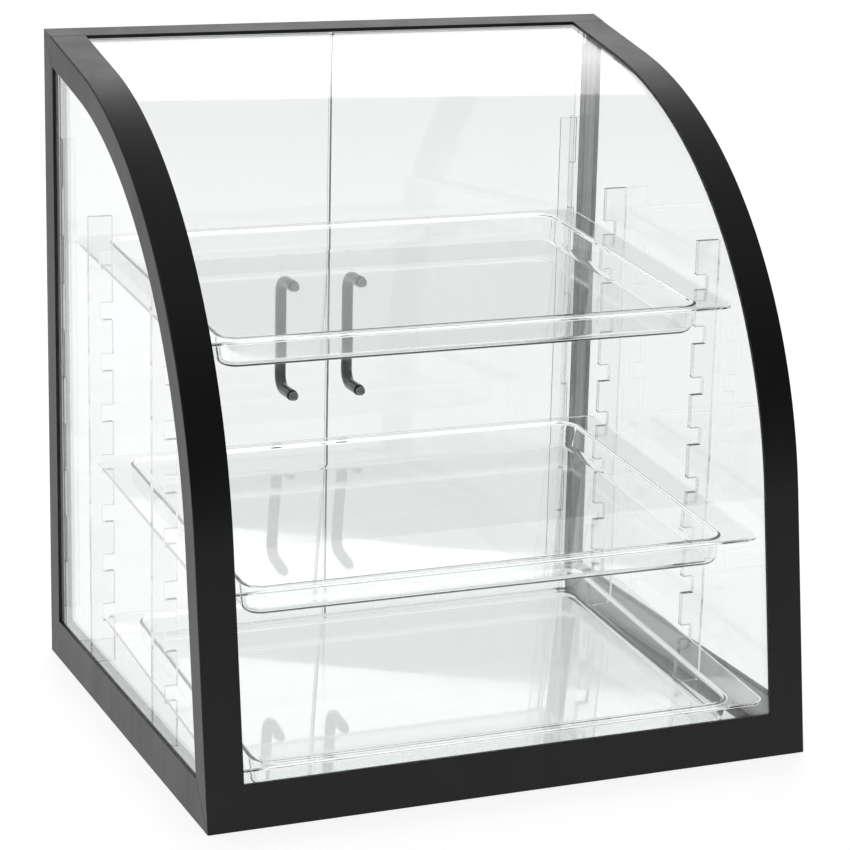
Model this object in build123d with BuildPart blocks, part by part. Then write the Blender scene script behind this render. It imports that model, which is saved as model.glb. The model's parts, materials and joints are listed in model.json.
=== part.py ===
from build123d import *
import os
from math import atan2, cos, degrees, floor, radians, sin, sqrt, tan

# Countertop bakery display case: a black angle frame with a curved front, a clear acrylic liner,
# three clear trays on notched rack strips, and two clear rear doors on continuous hinges.
# Millimetres, +Z up, +Y towards the back, origin at the middle of the whole object's footprint.

# overall sizes of the framed case, without the handles that stand out behind it
case_width = 502.0
case_depth = 432.0
case_height = 540.0

# side outline of the curved front: leaning straight, bend, rising straight
front_lean = 8.5
top_slope = 11.3
bend_radius = 372.0

# black frame, angle sections of one thickness
frame_wall = 3.0
curved_face_width = 30.0
side_leg_width = 23.0
post_leg_width = 25.0
rear_return = 11.0
top_face_width = 20.0
rail_height = 34.0
rail_foot = 20.0
frame_edge_radius = 1.2

# clear liner
front_panel_wall = 4.0
side_panel_wall = 6.0
floor_wall = 5.0
header_wall = 5.0
header_height = 17.0
panel_gap = 0.3
tape_wall = 3.0
tape_inset = 3.0

# notched rack strips on the side panels
strip_wall = 6.0
strip_width = 20.0
notch_depth = 10.0
notch_height = 14.4
notch_pitch = 42.9
lowest_notch = 36.3
rack_rise = 13.5
rack_spacing = 171.0
rear_rack_setback = 95.0
rack_headroom = 10.0

# trays
tray_wall = 3.0
tray_depth_inside = 22.0
side_flange = 28.0
end_flange = 10.0
tray_corner_radius = 10.0
basin_corner_radius = 14.0
basin_draft = 8.0
basin_floor_radius = 4.0
tray_side_gap = 1.0
tray_door_gap = 10.0
tray_rest_gap = 0.2
tray_setbacks = {"bottom": 12.5, "middle": 16.5, "top": 19.5}

# rear doors
door_wall = 5.0
door_side_gap = 6.0
door_seam = 2.0
door_top_gap = 1.5
door_bottom = 4.0
door_corner_radius = 2.0

# continuous hinges of the doors
hinge_bottom = 38.0
hinge_top_setback = 79.5
hinge_leaf_wall = 1.5
hinge_leaf_width = 13.0
knuckle_count = 10
knuckle_radius = 3.0
knuckle_gap = 0.4
pin_radius = 1.2
pin_gap = 0.06
pin_head_radius = 2.0
pin_head_height = 1.0

# door handles and their screws
handle_bar_radius = 5.0
handle_spacing = 96.0
handle_standoff = 32.0
handle_bend_radius = 12.0
handle_low = 212.0
handle_from_centre = 31.5
screw_radius = 2.0
screw_length = 14.0
screw_head_radius = 4.0
screw_head_height = 2.6
screw_slot_width = 1.2
screw_slot_depth = 1.2
screw_hole_gap = 0.25
thread_gap = 0.05

# places worked out from the sizes above
half_width = case_width / 2
front_y = -(case_depth + handle_standoff + handle_bar_radius) / 2
back_y = front_y + case_depth
liner_inset = frame_wall + front_panel_wall + panel_gap
floor_top = frame_wall + floor_wall
wall_outer = half_width - frame_wall - tape_wall
wall_inner = wall_outer - side_panel_wall
tooth_x = wall_inner - strip_width
notch_x = tooth_x + notch_depth
door_front = case_depth - door_wall
door_outer = half_width - rear_return - door_side_gap
door_inner = door_seam / 2
door_top = case_height - rear_return - door_top_gap
rear_rack = door_front - rear_rack_setback
front_rack = rear_rack - rack_spacing
tray_tilt = degrees(atan2(rack_rise, rack_spacing))
panel_edge = half_width - frame_wall - panel_gap
hinge_depth = case_depth + knuckle_radius + panel_gap
hinge_length = door_top - hinge_top_setback - hinge_bottom
handle_high = handle_low + handle_spacing
handle_feet = ((-handle_from_centre, handle_low), (-handle_from_centre, handle_high))

# the bend of the side outline, in distance from the front and height
lean = radians(front_lean)
rise = radians(top_slope)
front_run = Vector(sin(lean), cos(lean))
top_run = Vector(cos(rise), sin(rise))
front_out = Vector(-cos(lean), sin(lean))
top_out = Vector(-sin(rise), cos(rise))
reach = (case_depth * sin(rise) - case_height * cos(rise)) / (sin(lean) * sin(rise) - cos(lean) * cos(rise))
bend_start = front_run * (reach - bend_radius * tan((radians(90) - lean - rise) / 2))
bend_centre = bend_start - front_out * bend_radius


def depth_at(height, inset):
    """Distance from the front to the outline, moved in by inset, at a height."""
    radius = bend_radius - inset
    low = bend_centre + front_out * radius
    high = bend_centre + top_out * radius
    if height < low.Y:
        return low.X - (low.Y - height) * tan(lean)
    if height > high.Y:
        return high.X + (height - high.Y) / tan(rise)
    return bend_centre.X - sqrt(radius ** 2 - (height - bend_centre.Y) ** 2)


def height_at(depth, inset):
    """Height of the outline, moved in by inset, at a distance from the front."""
    radius = bend_radius - inset
    high = bend_centre + top_out * radius
    if depth > high.X:
        return high.Y + (depth - high.X) * tan(rise)
    return bend_centre.Y + sqrt(radius ** 2 - (depth - bend_centre.X) ** 2)


def rear_plane(depth):
    """Plane square to Y at a distance from the front: extruding goes towards the front."""
    return Plane(origin=(0, front_y + depth, 0), x_dir=(1, 0, 0), z_dir=(0, -1, 0))


def side_plane(x):
    """Plane square to X: sketch x is the distance from the front, sketch y is the height."""
    return Plane(origin=(x, front_y, 0), x_dir=(0, 1, 0), z_dir=(1, 0, 0))


def behind_outline(inset, mode=Mode.ADD):
    """Sketch of everything behind the curved outline moved in by inset."""
    radius = bend_radius - inset
    low = bend_centre + front_out * radius
    high = bend_centre + top_out * radius
    middle = bend_centre + (front_out + top_out).normalized() * radius
    below = low - front_run * case_height
    beyond = high + top_run * case_depth
    with BuildLine() as outline:
        Line(below, low)
        ThreePointArc(low, middle, high)
        Line(high, beyond)
        Polyline(beyond, (beyond.X, below.Y), below)
    make_face(outline.edges(), mode=mode)


def keep_box(low_depth, high_depth, low_height, high_height):
    """Trim the sketch to a rectangle of distances from the front and heights."""
    with Locations(((low_depth + high_depth) / 2, (low_height + high_height) / 2)):
        Rectangle(high_depth - low_depth, high_height - low_height, mode=Mode.INTERSECT)


def block(low, high, mode=Mode.ADD):
    """Box between two corners given as x, distance from the front, and height."""
    centre = [(a + b) / 2 for a, b in zip(low, high)]
    with Locations((centre[0], front_y + centre[1], centre[2])):
        Box(high[0] - low[0], high[1] - low[1], high[2] - low[2], mode=mode)


def save(built, name):
    built.part.label = name
    export_step(built.part, f"parts/{name}.step")


def save_pair(built, name):
    """Write a left-hand piece and its mirror image."""
    save(built, "left_" + name)
    with BuildPart() as twin:
        mirror(built.part, about=Plane.YZ)
    save(twin, "right_" + name)


# rack strips: as many notches as fit under the curved front panel at the front strips
rack_room = height_at(front_rack - strip_wall / 2, liner_inset) - rack_headroom - floor_top
notch_count = floor((rack_room - lowest_notch) / notch_pitch)
rack_length = lowest_notch + notch_count * notch_pitch

# trays: all alike, as long as fits between the front panel and the doors at the top notch
top_seat = floor_top + lowest_notch + (notch_count - 1) * notch_pitch + tray_rest_gap
top_front = depth_at(top_seat + tray_wall, liner_inset) + tray_setbacks["top"]
tray_depth = (door_front - tray_door_gap - top_front) / cos(radians(tray_tilt))
tray_width = 2 * (notch_x - tray_side_gap)

# where the frame's feet start behind the leaning front leg
foot_front = depth_at(frame_wall, frame_wall)

# inner corners of the side window, where the legs of the side frame are mitred
lower_front_corner = (depth_at(rail_height, side_leg_width), rail_height)
lower_rear_corner = (case_depth - post_leg_width, rail_height)
upper_rear_corner = (case_depth - post_leg_width, height_at(case_depth - post_leg_width, side_leg_width))


def bottom_leg(mode=Mode.ADD):
    """Sketch of the side rail's upright leg, mitred at both ends."""
    with BuildLine() as leg:
        Polyline((0, 0), (case_depth, 0), lower_rear_corner, lower_front_corner, close=True)
    make_face(leg.edges(), mode=mode)


def post_leg(mode=Mode.ADD):
    """Sketch of the rear post's side leg, mitred at both ends."""
    with BuildLine() as leg:
        Polyline((case_depth, 0), (case_depth, case_height), upper_rear_corner, lower_rear_corner, close=True)
    make_face(leg.edges(), mode=mode)


def build_top_rear_rail():
    with BuildPart() as top_rear_rail:
        with BuildSketch(side_plane(-half_width)):
            behind_outline(0)
            behind_outline(frame_wall, Mode.SUBTRACT)
            keep_box(case_depth - top_face_width, case_depth, 0, case_height)
        extrude(amount=case_width)
        block((-half_width, case_depth - frame_wall, case_height - rear_return),
              (half_width, case_depth, case_height - frame_wall))
    return top_rear_rail


def build_curved_rail(top_rear_rail):
    """Left curved rail: a wide face leg on the outline and a side leg in the side plane."""
    with BuildPart() as curved_rail:
        with BuildSketch(side_plane(-half_width)):
            behind_outline(0)
            behind_outline(frame_wall, Mode.SUBTRACT)
            keep_box(0, case_depth - top_face_width, 0, case_height)
        extrude(amount=curved_face_width)
        with BuildSketch(side_plane(-half_width)):
            behind_outline(0)
            behind_outline(side_leg_width, Mode.SUBTRACT)
            keep_box(0, case_depth, 0, case_height)
            bottom_leg(Mode.SUBTRACT)
            post_leg(Mode.SUBTRACT)
        extrude(amount=frame_wall)
        add(top_rear_rail.part, mode=Mode.SUBTRACT)
    return curved_rail


def build_rear_post(top_rear_rail):
    with BuildPart() as rear_post:
        with BuildSketch(side_plane(-half_width)):
            post_leg()
        extrude(amount=frame_wall)
        block((-half_width, case_depth - frame_wall, 0),
              (-half_width + rear_return, case_depth, case_height - frame_wall))
        add(top_rear_rail.part, mode=Mode.SUBTRACT)
    return rear_post


def build_bottom_rail(rear_post, curved_rail):
    with BuildPart() as bottom_rail:
        with BuildSketch(side_plane(-half_width)):
            bottom_leg()
        extrude(amount=frame_wall)
        block((-half_width + frame_wall, foot_front, 0),
              (-half_width + rail_foot, case_depth - frame_wall, frame_wall))
        add(rear_post.part, mode=Mode.SUBTRACT)
        add(curved_rail.part, mode=Mode.SUBTRACT)
    return bottom_rail


def build_front_bottom_rail():
    with BuildPart() as front_bottom_rail:
        with BuildSketch(side_plane(-half_width + curved_face_width)):
            behind_outline(0)
            behind_outline(frame_wall, Mode.SUBTRACT)
            keep_box(0, rail_foot, 0, rail_height)
        extrude(amount=case_width - 2 * curved_face_width)
        with BuildSketch(side_plane(-half_width + rail_foot)):
            behind_outline(frame_wall)
            keep_box(0, rail_foot, 0, frame_wall)
        extrude(amount=case_width - 2 * rail_foot)
    return front_bottom_rail


def round_outline_edge(rail):
    """Soften the long outer corner of a left-hand curved rail."""
    def on_corner(edge):
        middle = edge @ 0.5
        off = abs(depth_at(middle.Z, 0) - (middle.Y - front_y))
        return abs(middle.X + half_width) < 0.01 and off < 0.05 and edge.length > curved_face_width
    with BuildPart() as rounded:
        add(rail.part)
        fillet(rounded.edges().filter_by(on_corner), frame_edge_radius)
    return rounded


def build_front_panel():
    with BuildPart() as curved_front_panel:
        with BuildSketch(side_plane(-panel_edge)):
            behind_outline(frame_wall)
            behind_outline(frame_wall + front_panel_wall, Mode.SUBTRACT)
            keep_box(0, case_depth - frame_wall, frame_wall, case_height)
        extrude(amount=2 * panel_edge)
    return curved_front_panel


def build_floor_panel():
    with BuildPart() as floor_panel:
        with BuildSketch(side_plane(-panel_edge)):
            behind_outline(liner_inset)
            keep_box(0, door_front - panel_gap, frame_wall, floor_top)
        extrude(amount=2 * panel_edge)
    return floor_panel


def build_header_strip():
    """Clear strip across the top of the rear opening, which the closed doors rest against."""
    low = case_height - rear_return - header_height
    with BuildPart() as header_strip:
        with BuildSketch(side_plane(-wall_inner)):
            behind_outline(liner_inset)
            keep_box(door_front - panel_gap - header_wall, door_front - panel_gap, low, case_height)
        extrude(amount=2 * wall_inner)
    return header_strip


def build_side_panel():
    with BuildPart() as side_panel:
        with BuildSketch(side_plane(-wall_outer)):
            behind_outline(liner_inset)
            keep_box(0, case_depth - frame_wall, floor_top, case_height)
        extrude(amount=side_panel_wall)
    return side_panel


def build_tape(low_depth, high_depth, low_height, high_height, inner_inset=None):
    """Strip of grey foam tape between one leg of the side frame and the side panel."""
    with BuildPart() as tape:
        with BuildSketch(side_plane(-wall_outer - tape_wall)):
            behind_outline(liner_inset)
            if inner_inset is not None:
                behind_outline(inner_inset, Mode.SUBTRACT)
            keep_box(low_depth, high_depth, low_height, high_height)
        extrude(amount=tape_wall)
    return tape


def build_rack_strip(rack_depth, bottom):
    """Left notched strip that stands square off the side panel."""
    near = rack_depth - strip_wall / 2
    far = rack_depth + strip_wall / 2
    with BuildPart() as strip:
        block((-wall_inner, near, bottom), (-tooth_x, far, bottom + rack_length))
        for number in range(notch_count):
            low = bottom + lowest_notch + number * notch_pitch
            block((-notch_x, near, low), (-tooth_x, far, low + notch_height), Mode.SUBTRACT)
    return strip


def build_tray(level, setback):
    """Tray on one notch level, tilted so that its front is lower."""
    seat = floor_top + lowest_notch + level * notch_pitch + tray_rest_gap
    front = depth_at(seat + tray_wall, liner_inset) + setback
    under = seat + (front - (front_rack - strip_wall / 2)) * tan(radians(tray_tilt))
    tilt = radians(tray_tilt)
    rim = Plane(origin=(0, front_y + front, under), x_dir=(1, 0, 0), z_dir=(0, -sin(tilt), cos(tilt)))
    upward = Axis(rim.origin, rim.z_dir)
    centre = (0, tray_depth / 2)
    opening = (tray_width - 2 * side_flange, tray_depth - 2 * end_flange)
    with BuildPart() as tray:
        with BuildSketch(rim):
            with Locations(centre):
                RectangleRounded(tray_width, tray_depth, tray_corner_radius)
        extrude(amount=tray_wall)
        with BuildSketch(rim):
            with Locations(centre):
                RectangleRounded(opening[0] + 2 * tray_wall, opening[1] + 2 * tray_wall,
                                 basin_corner_radius + tray_wall)
        extrude(amount=-tray_depth_inside, taper=basin_draft)
        outside_floor = tray.faces().sort_by(upward)[0]
        fillet(outside_floor.edges(), basin_floor_radius + tray_wall)
        with BuildSketch(rim.offset(tray_wall)):
            with Locations(centre):
                RectangleRounded(opening[0], opening[1], basin_corner_radius)
        extrude(amount=-tray_depth_inside, taper=basin_draft, mode=Mode.SUBTRACT)
        inside_floor = tray.faces().filter_by(rim).sort_by(upward)[1]
        fillet(inside_floor.edges(), basin_floor_radius)
    return tray


def build_door():
    with BuildPart() as door:
        with BuildSketch(rear_plane(case_depth)):
            with Locations((-(door_outer + door_inner) / 2, (door_bottom + door_top) / 2)):
                RectangleRounded(door_outer - door_inner, door_top - door_bottom, door_corner_radius)
            with Locations(*handle_feet):
                Circle(screw_radius + screw_hole_gap, mode=Mode.SUBTRACT)
        extrude(amount=door_wall)
    return door


def build_hinge_leaf(side, first):
    """Leaf and knuckles of a left hinge: side -1 lies on the post, side 1 on the door."""
    segment = hinge_length / knuckle_count
    axis_x = -door_outer
    clear = knuckle_radius + knuckle_gap
    plate = sorted((axis_x + side * clear, axis_x + side * hinge_leaf_width))
    web = sorted((axis_x, axis_x + side * clear))
    with BuildPart() as leaf:
        block((plate[0], case_depth, hinge_bottom),
              (plate[1], case_depth + hinge_leaf_wall, hinge_bottom + hinge_length))
        for number in range(first, knuckle_count, 2):
            low = hinge_bottom + number * segment + knuckle_gap / 2
            high = low + segment - knuckle_gap
            block((web[0], case_depth + panel_gap, low), (web[1], case_depth + hinge_leaf_wall, high))
            with BuildSketch(Plane.XY.offset(low)):
                with Locations((axis_x, front_y + hinge_depth)):
                    Circle(knuckle_radius)
            extrude(amount=high - low)
        with BuildSketch(Plane.XY.offset(hinge_bottom)):
            with Locations((axis_x, front_y + hinge_depth)):
                Circle(pin_radius + pin_gap)
        extrude(amount=hinge_length, mode=Mode.SUBTRACT)
    return leaf


def build_hinge_pin():
    with BuildPart() as pin:
        with BuildSketch(Plane.XY.offset(hinge_bottom)):
            with Locations((-door_outer, front_y + hinge_depth)):
                Circle(pin_radius)
        extrude(amount=hinge_length)
        with BuildSketch(Plane.XY.offset(hinge_bottom + hinge_length)):
            with Locations((-door_outer, front_y + hinge_depth)):
                Circle(pin_head_radius)
        extrude(amount=pin_head_height)
    return pin


def build_handle():
    path_plane = side_plane(-handle_from_centre)
    out = case_depth + handle_standoff
    with BuildPart() as handle:
        with BuildLine(path_plane) as bar:
            FilletPolyline((case_depth, handle_low), (out, handle_low), (out, handle_high),
                           (case_depth, handle_high), radius=handle_bend_radius)
        with BuildSketch(Plane(origin=bar.line @ 0, z_dir=bar.line % 0)):
            Circle(handle_bar_radius)
        sweep()
        with BuildSketch(rear_plane(case_depth + screw_length - door_wall)):
            with Locations(*handle_feet):
                Circle(screw_radius + thread_gap)
        extrude(amount=screw_length - door_wall, mode=Mode.SUBTRACT)
    return handle


def build_handle_screws():
    with BuildPart() as screws:
        with BuildSketch(rear_plane(door_front)):
            with Locations(*handle_feet):
                Circle(screw_head_radius)
        extrude(amount=screw_head_height)
        rims = screws.edges().filter_by(GeomType.CIRCLE).group_by(Axis.Y)[0]
        fillet(rims, screw_head_height / 2)
        with BuildSketch(rear_plane(door_front - screw_head_height)):
            with Locations(*handle_feet):
                Rectangle(2 * screw_head_radius, screw_slot_width)
        extrude(amount=-screw_slot_depth, mode=Mode.SUBTRACT)
        with BuildSketch(rear_plane(door_front)):
            with Locations(*handle_feet):
                Circle(screw_radius)
        extrude(amount=-(screw_length - thread_gap))
    return screws


os.makedirs("parts", exist_ok=True)

top_rear_rail = build_top_rear_rail()
curved_rail = build_curved_rail(top_rear_rail)
rear_post = build_rear_post(top_rear_rail)
bottom_rail = build_bottom_rail(rear_post, curved_rail)
save(top_rear_rail, "top_rear_rail")
save_pair(round_outline_edge(curved_rail), "curved_rail")
save_pair(rear_post, "rear_post")
save_pair(bottom_rail, "bottom_rail")
save(build_front_bottom_rail(), "front_bottom_rail")

save(build_front_panel(), "curved_front_panel")
save(build_floor_panel(), "floor_panel")
save(build_header_strip(), "header_strip")
save_pair(build_side_panel(), "side_panel")

tape_low = rail_height - tape_inset
tape_rear = case_depth - post_leg_width + tape_inset
save_pair(build_tape(0, tape_rear, tape_low, case_height, side_leg_width - tape_inset), "curved_tape")
save_pair(build_tape(tape_rear, case_depth - frame_wall, tape_low, case_height), "post_tape")
save_pair(build_tape(0, case_depth - frame_wall, floor_top, tape_low), "rail_tape")

save_pair(build_rack_strip(front_rack, floor_top), "front_rack_strip")
save_pair(build_rack_strip(rear_rack, floor_top + rack_rise), "rear_rack_strip")

levels = {"bottom": 0, "middle": (notch_count - 1) // 2, "top": notch_count - 1}
for name, level in levels.items():
    save(build_tray(level, tray_setbacks[name]), name + "_tray")

save_pair(build_door(), "door")
save_pair(build_hinge_leaf(-1, 0), "hinge_post_leaf")
save_pair(build_hinge_leaf(1, 1), "hinge_door_leaf")
save_pair(build_hinge_pin(), "hinge_pin")
save_pair(build_handle(), "door_handle")
save_pair(build_handle_screws(), "handle_screws")
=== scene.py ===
import json
from math import cos, radians, sin

import bmesh
import bpy
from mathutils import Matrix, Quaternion, Vector
from mathutils.bvhtree import BVHTree

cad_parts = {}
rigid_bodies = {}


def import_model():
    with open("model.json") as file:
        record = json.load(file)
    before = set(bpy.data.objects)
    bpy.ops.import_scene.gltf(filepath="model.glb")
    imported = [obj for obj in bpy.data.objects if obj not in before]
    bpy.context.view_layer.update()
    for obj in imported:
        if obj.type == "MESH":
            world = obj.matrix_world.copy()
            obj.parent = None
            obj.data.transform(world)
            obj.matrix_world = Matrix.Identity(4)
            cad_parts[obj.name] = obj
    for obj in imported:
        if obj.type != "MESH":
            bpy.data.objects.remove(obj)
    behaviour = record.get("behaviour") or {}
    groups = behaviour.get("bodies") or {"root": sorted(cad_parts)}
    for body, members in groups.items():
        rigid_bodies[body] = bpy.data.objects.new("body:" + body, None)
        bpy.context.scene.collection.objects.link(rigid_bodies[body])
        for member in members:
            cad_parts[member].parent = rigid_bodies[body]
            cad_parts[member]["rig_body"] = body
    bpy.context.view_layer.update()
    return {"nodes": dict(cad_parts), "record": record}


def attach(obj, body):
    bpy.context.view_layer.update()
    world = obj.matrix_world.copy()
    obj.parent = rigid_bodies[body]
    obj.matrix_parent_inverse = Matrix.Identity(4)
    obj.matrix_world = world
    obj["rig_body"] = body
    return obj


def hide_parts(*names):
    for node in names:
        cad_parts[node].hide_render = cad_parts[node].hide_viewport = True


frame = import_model()

black = (0.0, 0.0, 0.0, 1.0)
white = (1.0, 1.0, 1.0, 1.0)


class Wire:
    # a socket whose arithmetic adds Math nodes
    def __init__(self, finish, socket):
        self.finish = finish
        self.socket = socket

    def maths(self, operation, first, second):
        return self.finish.node("ShaderNodeMath", {"operation": operation}, {0: first, 1: second})

    def __add__(self, other):
        return self.maths("ADD", self, other)

    def __radd__(self, other):
        return self.maths("ADD", other, self)

    def __sub__(self, other):
        return self.maths("SUBTRACT", self, other)

    def __rsub__(self, other):
        return self.maths("SUBTRACT", other, self)

    def __mul__(self, other):
        return self.maths("MULTIPLY", self, other)

    def __rmul__(self, other):
        return self.maths("MULTIPLY", other, self)

    def larger(self, other):
        return self.maths("MAXIMUM", self, other)

    def between(self, low, high):
        # 0 below low, 1 above high, smooth in between
        values = {"Value": self, "From Min": low, "From Max": high}
        return self.finish.node("ShaderNodeMapRange", {"interpolation_type": "SMOOTHSTEP"}, values)


class Finish:
    # the node tree of a material or of the world
    def __init__(self, owner):
        self.owner = owner
        owner.use_nodes = True
        self.tree = owner.node_tree
        self.tree.nodes.clear()
        self.place = self.node("ShaderNodeTexCoord", {}, {}, "Object")

    def node(self, kind, settings, sockets, output=0):
        made = self.tree.nodes.new(kind)
        for key, value in settings.items():
            setattr(made, key, value)
        for key, value in sockets.items():
            if isinstance(value, Wire):
                self.tree.links.new(value.socket, made.inputs[key])
            else:
                made.inputs[key].default_value = value
        return Wire(self, made.outputs[output])

    def noise(self, scale, detail=2.0, roughness=0.5, stretch=None):
        where = self.place
        if stretch:
            where = self.node("ShaderNodeMapping", {}, {"Vector": where, "Scale": stretch})
        values = {"Vector": where, "Scale": scale, "Detail": detail, "Roughness": roughness}
        return self.node("ShaderNodeTexNoise", {}, values)

    def edgeBand(self):
        # 1 on the eased edges of a piece, 0 on its faces
        return self.node("ShaderNodeAttribute", {"attribute_name": "edgeBand"}, {}, "Fac")

    def lightPath(self, kind):
        return self.node("ShaderNodeLightPath", {}, {}, kind)

    def mixColour(self, factor, first, second):
        return self.node("ShaderNodeMix", {"data_type": "RGBA"}, {0: factor, 6: first, 7: second}, 2)

    def bump(self, height, distance, strength):
        return self.node("ShaderNodeBump", {}, {"Height": height, "Distance": distance, "Strength": strength})

    def principled(self, values):
        return self.node("ShaderNodeBsdfPrincipled", {}, values)

    def link(self, surface):
        kind = "World" if isinstance(self.owner, bpy.types.World) else "Material"
        out = self.tree.nodes.new("ShaderNodeOutput" + kind)
        self.tree.links.new(surface.socket, out.inputs["Surface"])
        return self.owner


def addObject(name, data):
    obj = bpy.data.objects.new(name, data)
    bpy.context.scene.collection.objects.link(obj)
    return obj


def pieceFrom(bm, name, paint):
    mesh = bpy.data.meshes.new(name)
    bm.to_mesh(mesh)
    bm.free()
    mesh.materials.append(paint)
    return addObject(name, mesh)


def aim(obj, back, roll=0.0):
    # turns a lamp or the camera so that its back faces along the vector
    turn = Quaternion((0, 0, 1), radians(roll))
    obj.rotation_mode = "QUATERNION"
    obj.rotation_quaternion = (-back).to_track_quat("-Z", "Y") @ turn


camera = {
    "place": (-0.8565, -2.0623, 0.8293),
    "azimuth": -22.88,
    "elevation": 14.96,
    "roll": 1.295,
    "lens": 119.2,
    "film": 36.0,
    "reach": 100.0,
}


def makeCamera(values):
    data = bpy.data.cameras.new("camera")
    data.lens = values["lens"]
    data.sensor_width = values["film"]
    data.clip_end = values["reach"]
    obj = addObject("camera", data)
    across, up = radians(values["azimuth"]), radians(values["elevation"])
    back = Vector((sin(across) * cos(up), -cos(across) * cos(up), sin(up)))
    obj.location = values["place"]
    aim(obj, back, values["roll"])
    bpy.context.scene.camera = obj


lamps = {
    "keySoftbox": {"place": (-1.6, -1.2, 2.4), "target": (0.0, 0.0, 0.3), "size": (1.6, 1.2), "watts": 9.0},
    "backSoftbox": {"place": (0.9, 2.0, 1.9), "target": (0.0, 0.0, 0.3), "size": (1.8, 1.2), "watts": 8.5},
    "fillSoftbox": {"place": (2.2, -1.0, 1.2), "target": (0.0, 0.0, 0.25), "size": (1.0, 1.6), "watts": 2.0},
}


def makeLamp(name, values):
    data = bpy.data.lights.new(name, "AREA")
    data.shape = "RECTANGLE"
    data.size, data.size_y = values["size"]
    data.energy = values["watts"]
    lamp = addObject(name, data)
    lamp.location = values["place"]
    aim(lamp, Vector(values["place"]) - Vector(values["target"]))


room = {
    "backdrop": white,
    "front": (0.05, 0.05, 0.052, 1.0),
    "back": (0.72, 0.72, 0.72, 1.0),
    "ceiling": (0.42, 0.42, 0.43, 1.0),
    "backFrom": -0.15,
    "backTo": 0.5,
    "ceilingFrom": 0.55,
    "ceilingTo": 0.95,
}


def makeRoom(values):
    world = bpy.data.worlds.new("studio")
    sky = Finish(world)
    facing = sky.node("ShaderNodeTexCoord", {}, {}, "Generated")
    depth = sky.node("ShaderNodeSeparateXYZ", {}, {"Vector": facing}, "Y")
    height = sky.node("ShaderNodeSeparateXYZ", {}, {"Vector": facing}, "Z")
    behind = depth.between(values["backFrom"], values["backTo"])
    above = height.between(values["ceilingFrom"], values["ceilingTo"])
    walls = sky.mixColour(behind, values["front"], values["back"])
    around = sky.mixColour(above, walls, values["ceiling"])
    # what is seen straight on or through clear sheets is the backdrop, reflections see the room
    bounces = sky.lightPath("Glossy Depth") + sky.lightPath("Diffuse Depth")
    seen = sky.mixColour(bounces.between(0.0, 1.0), values["backdrop"], around)
    sky.link(sky.node("ShaderNodeBackground", {}, {"Color": seen, "Strength": 1.0}))
    bpy.context.scene.world = world


floor = {
    "size": 16.0,
    "pale": (0.35, 0.35, 0.35, 1.0),
    "mottled": (0.34475, 0.34475, 0.34475, 1.0),
    "mottleSize": 3.0,
    "roughness": 0.6,
    "glow": 0.82,
}


def makeFloor(values):
    paint = Finish(bpy.data.materials.new("paleFloor"))
    mottle = paint.noise(values["mottleSize"])
    finished = paint.link(paint.principled({
        "Base Color": paint.mixColour(mottle, values["mottled"], values["pale"]),
        "Roughness": values["roughness"],
        "Emission Color": white,
        "Emission Strength": values["glow"],
    }))
    bm = bmesh.new()
    bmesh.ops.create_grid(bm, x_segments=1, y_segments=1, size=values["size"] / 2)
    pieceFrom(bm, "floor", finished)


framePaint = {
    "deep": (0.0028, 0.0028, 0.003, 1.0),
    "dusty": (0.0062, 0.0061, 0.006, 1.0),
    # the lighter edge colour below is rubbed paint and also a painted highlight along the edges
    "wornAndHighlight": (0.05, 0.049, 0.048, 1.0),
    "dust": 0.35,
    "wearAndHighlightStrength": 0.55,
    "roughness": 0.34,
    "streakRoughness": 0.06,
    "speckRoughness": 0.05,
    "edgePolish": 0.06,
    "streakSize": 26.0,
    "cloudSize": 11.0,
    "speckSize": 1400.0,
    "rubSize": 95.0,
    "peelSize": 900.0,
    "peelDepth": 0.00002,
    "index": 1.42,
}


def makeFramePaint(values):
    paint = Finish(bpy.data.materials.new("blackSatinPaint"))
    streak = paint.noise(values["streakSize"], 4.0, 0.6, stretch=(1.0, 1.0, 0.12))
    cloud = paint.noise(values["cloudSize"], 3.0, 0.55)
    speck = paint.noise(values["speckSize"], 1.0)
    peel = paint.noise(values["peelSize"], 2.0, 0.45)
    edge = paint.edgeBand()
    # the eased edges turn lighter where the rub noise allows: partly rubbed wear, partly a painted highlight
    # along the edge line
    rubbedAndHighlit = edge * paint.noise(values["rubSize"], 3.0, 0.6).between(0.42, 0.66)
    dusty = paint.mixColour(cloud.between(0.3, 0.8) * values["dust"], values["deep"], values["dusty"])
    streaked = values["roughness"] + streak.between(0.35, 0.7) * values["streakRoughness"]
    return paint.link(paint.principled({
        "Base Color": paint.mixColour(rubbedAndHighlit * values["wearAndHighlightStrength"], dusty, values["wornAndHighlight"]),
        "Roughness": streaked + speck * values["speckRoughness"] - edge * values["edgePolish"],
        "Normal": paint.bump(peel, values["peelDepth"], 0.7),
        "IOR": values["index"],
    }))


clearSheet = {
    "tint": (0.952, 0.962, 0.96, 1.0),
    "index": 1.49,
    "scratchSize": 900.0,
    "smearSize": 9.0,
    "waveSize": 14.0,
}

# the edge glow in each row is a painted highlight on the eased edges of the sheet
clearPanel = {"roughness": 0.0, "haze": 0.02, "ripple": 0.00003, "edgeFrost": 0.15, "paintedEdgeHighlight": 0.06}
clearDoor = {"roughness": 0.0, "haze": 0.02, "ripple": 0.00003, "edgeFrost": 0.15, "paintedEdgeHighlight": 0.06}
clearTray = {"roughness": 0.015, "haze": 0.04, "ripple": 0.00006, "edgeFrost": 0.4, "paintedEdgeHighlight": 0.35}
clearHinge = {"roughness": 0.04, "haze": 0.06, "ripple": 0.00004, "edgeFrost": 0.1, "paintedEdgeHighlight": 0.06}


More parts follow.
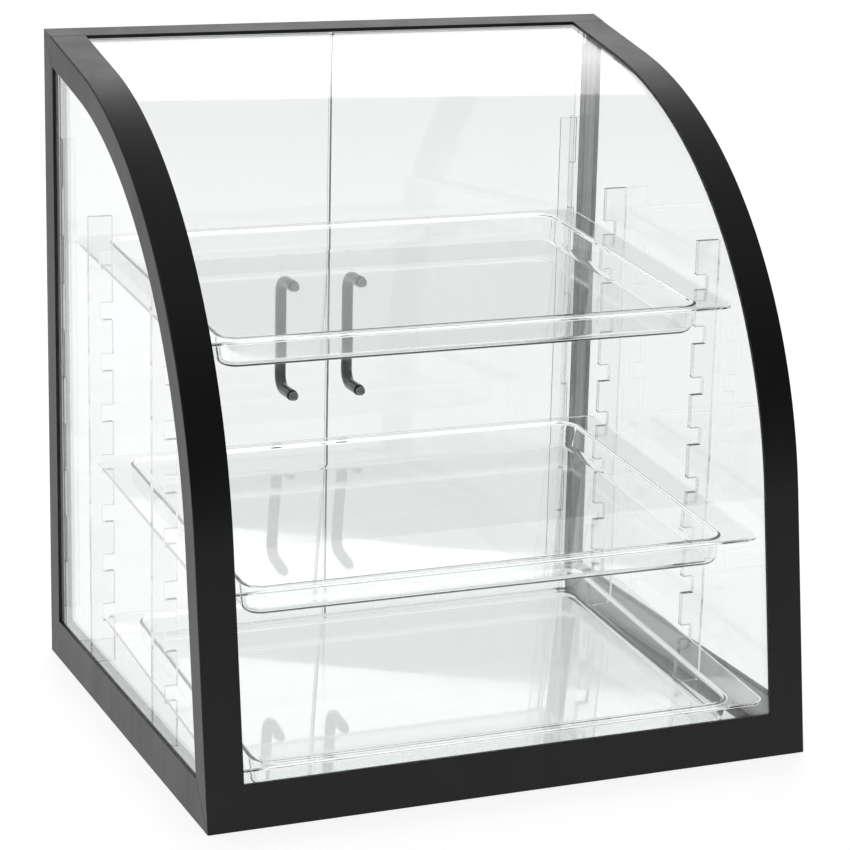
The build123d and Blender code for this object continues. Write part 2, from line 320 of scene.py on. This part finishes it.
def makeClear(name, sheet, values):
    clear = Finish(bpy.data.materials.new(name))
    smear = clear.noise(sheet["smearSize"], 3.0, 0.6).between(0.45, 0.8)
    scratch = clear.noise(sheet["scratchSize"], 1.0, 0.5, stretch=(1.0, 1.0, 0.05)).between(0.72, 0.8)
    wave = clear.noise(sheet["waveSize"], 1.0, 0.4)
    edge = clear.edgeBand()
    marked = values["roughness"] + smear * values["haze"] + scratch * values["haze"]
    glass = clear.principled({
        "Base Color": sheet["tint"],
        # the eased edges glow white, a painted highlight on the sheet edges
        "Emission Color": clear.mixColour(edge, black, white),
        "Emission Strength": values["paintedEdgeHighlight"],
        "Roughness": marked + edge * values["edgeFrost"],
        "Normal": clear.bump(wave, values["ripple"], 0.6),
        "IOR": sheet["index"],
        "Transmission Weight": 1.0,
    })
    # shadow and diffuse rays go straight through a sheet
    straight = clear.node("ShaderNodeBsdfTransparent", {}, {"Color": sheet["tint"]})
    passing = clear.lightPath("Is Shadow Ray").larger(clear.lightPath("Is Diffuse Ray"))
    return clear.link(clear.node("ShaderNodeMixShader", {}, {0: passing, 1: glass, 2: straight}))


greyFoam = {
    # the darker foam colour is painted shade for the cell hollows
    "shadedHollow": (0.24, 0.24, 0.245, 1.0),
    "skin": (0.48, 0.48, 0.485, 1.0),
    "cellSize": 1500.0,
    "cellDepth": 0.0002,
    "roughness": 0.85,
    "cellRoughness": 0.1,
}


def makeFoam(values):
    foam = Finish(bpy.data.materials.new("greyFoamTape"))
    cell = foam.noise(values["cellSize"], 2.0, 0.6)
    return foam.link(foam.principled({
        # the low cells of the bump take the darker colour, painted shade in the foam's pits
        "Base Color": foam.mixColour(cell, values["shadedHollow"], values["skin"]),
        "Roughness": values["roughness"] + cell * values["cellRoughness"],
        "Normal": foam.bump(cell, values["cellDepth"], 0.8),
    }))


handleGloss = {
    "deep": (0.008, 0.008, 0.009, 1.0),
    "cloudy": (0.018, 0.018, 0.019, 1.0),
    "cloudSize": 60.0,
    "touchSize": 180.0,
    "touchDepth": 0.00002,
    "roughness": 0.16,
    "touchRoughness": 0.14,
    "coat": 0.4,
    "coatRoughness": 0.08,
}


def makeHandleGloss(values):
    gloss = Finish(bpy.data.materials.new("glossBlackHandle"))
    cloud = gloss.noise(values["cloudSize"], 3.0, 0.5)
    touch = gloss.noise(values["touchSize"], 4.0, 0.6)
    return gloss.link(gloss.principled({
        "Base Color": gloss.mixColour(cloud, values["deep"], values["cloudy"]),
        "Roughness": values["roughness"] + touch.between(0.4, 0.8) * values["touchRoughness"],
        "Coat Weight": values["coat"],
        "Coat Roughness": values["coatRoughness"],
        "Normal": gloss.bump(touch, values["touchDepth"], 0.4),
    }))


turnedSteel = {
    "dark": (0.2, 0.2, 0.21, 1.0),
    "bright": (0.4, 0.4, 0.41, 1.0),
    "grooveSize": 2200.0,
    "grooveDepth": 0.00002,
    "roughness": 0.24,
    "grooveRoughness": 0.16,
}


def makeSteel(values):
    steel = Finish(bpy.data.materials.new("turnedSteel"))
    groove = steel.noise(values["grooveSize"], 2.0, 0.5, stretch=(1.0, 0.05, 1.0))
    return steel.link(steel.principled({
        "Base Color": steel.mixColour(groove, values["dark"], values["bright"]),
        "Metallic": 1.0,
        "Roughness": values["roughness"] + groove * values["grooveRoughness"],
        "Normal": steel.bump(groove, values["grooveDepth"], 0.5),
    }))


# lengths in metres, and flat, sharp and crease in degrees
meshing = {"weld": 1e-6, "flat": 0.4, "crease": 46.0, "faceWeight": 90}
easing = {
    "black_frame": {"relief": 0.0, "sharp": 28.0, "ease": 0.0004, "segments": 3},
    "clear_panel": {"relief": 0.00004, "sharp": 28.0, "ease": 0.0004, "segments": 2},
    "clear_door": {"relief": 0.00004, "sharp": 28.0, "ease": 0.0004, "segments": 2},
    "clear_tray": {"relief": 0.0, "sharp": 28.0, "ease": 0.0009, "segments": 3},
    "foam_tape": {"relief": 0.0, "sharp": 28.0, "ease": 0.0002, "segments": 1},
    "clear_hinge": {"relief": 0.00004, "sharp": 28.0, "ease": 0.00015, "segments": 2},
    "handle": {"relief": 0.0, "sharp": 40.0, "ease": 0.0004, "segments": 3},
    "screw": {"relief": 0.0, "sharp": 40.0, "ease": 0.0001, "segments": 1},
}


def edgeAngle(edge):
    return edge.calc_face_angle(0.0) if len(edge.link_faces) == 2 else 0.0


def mergedCopy(node, relief):
    # the CAD mesh in one skin, drawn in by the relief so that clear faces don't touch
    bm = bmesh.new()
    bm.from_mesh(frame["nodes"][node].data)
    bmesh.ops.remove_doubles(bm, verts=bm.verts, dist=meshing["weld"])
    bmesh.ops.dissolve_limit(bm, angle_limit=radians(meshing["flat"]), verts=bm.verts, edges=bm.edges)
    bm.normal_update()
    for vert in bm.verts:
        vert.co -= vert.normal * relief
    return bm


def easeEdges(bm, values):
    # rounds the sharp edges and marks the rounding in edgeBand
    skin = BVHTree.FromBMesh(bm)
    sharp = [edge for edge in bm.edges if edgeAngle(edge) > radians(values["sharp"])]
    done = bmesh.ops.bevel(
        bm, geom=sharp, offset=values["ease"], offset_type="OFFSET", segments=values["segments"],
        profile=0.5, affect="EDGES", clamp_overlap=False, material=-1)
    for vert in bm.verts:
        # a tight corner that the bevel threw out comes back to the surface
        nearest, direction, index, gap = skin.find_nearest(vert.co)
        if gap > values["ease"]:
            vert.co = nearest
    bm.normal_update()
    band = bm.loops.layers.float.new("edgeBand")
    for face in done["faces"]:
        for corner in face.loops:
            corner[band] = 1.0


def shadeSmooth(bm):
    for face in bm.faces:
        face.smooth = True
    for edge in bm.edges:
        edge.smooth = edgeAngle(edge) < radians(meshing["crease"])


def weighNormals(piece):
    # broad faces keep their own direction and only the eased bands turn
    weigh = piece.modifiers.new("weighNormals", "WEIGHTED_NORMAL")
    weigh.mode = "FACE_AREA"
    weigh.weight = meshing["faceWeight"]
    weigh.keep_sharp = True


def finishNode(node, slotName, paint):
    # the finished piece that stands for a CAD node
    values = easing[slotName]
    bm = mergedCopy(node, values["relief"])
    easeEdges(bm, values)
    shadeSmooth(bm)
    piece = pieceFrom(bm, node + "_finish", paint)
    weighNormals(piece)
    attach(piece, frame["nodes"][node]["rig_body"])
    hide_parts(node)


makeCamera(camera)
for name, values in lamps.items():
    makeLamp(name, values)
makeRoom(room)
print("camera and light made")

finishes = {
    "black_frame": makeFramePaint(framePaint),
    "clear_panel": makeClear("clearPanel", clearSheet, clearPanel),
    "clear_door": makeClear("clearDoor", clearSheet, clearDoor),
    "clear_tray": makeClear("clearTray", clearSheet, clearTray),
    "foam_tape": makeFoam(greyFoam),
    "clear_hinge": makeClear("clearHinge", clearSheet, clearHinge),
    "handle": makeHandleGloss(handleGloss),
    "screw": makeSteel(turnedSteel),
}
print("finishes made:", len(finishes))

makeFloor(floor)
print("floor made")

for row in frame["record"]["subparts"]:
    finishNode(row["node"], row["material_slot"], finishes[row["material_slot"]])

# enough bounces to see through every clear sheet
bounceLimits = {"max_bounces": 48, "transmission_bounces": 48, "transparent_max_bounces": 64}
scene = bpy.context.scene
scene.view_settings.view_transform = "Standard"
for name, limit in bounceLimits.items():
    setattr(scene.cycles, name, limit)
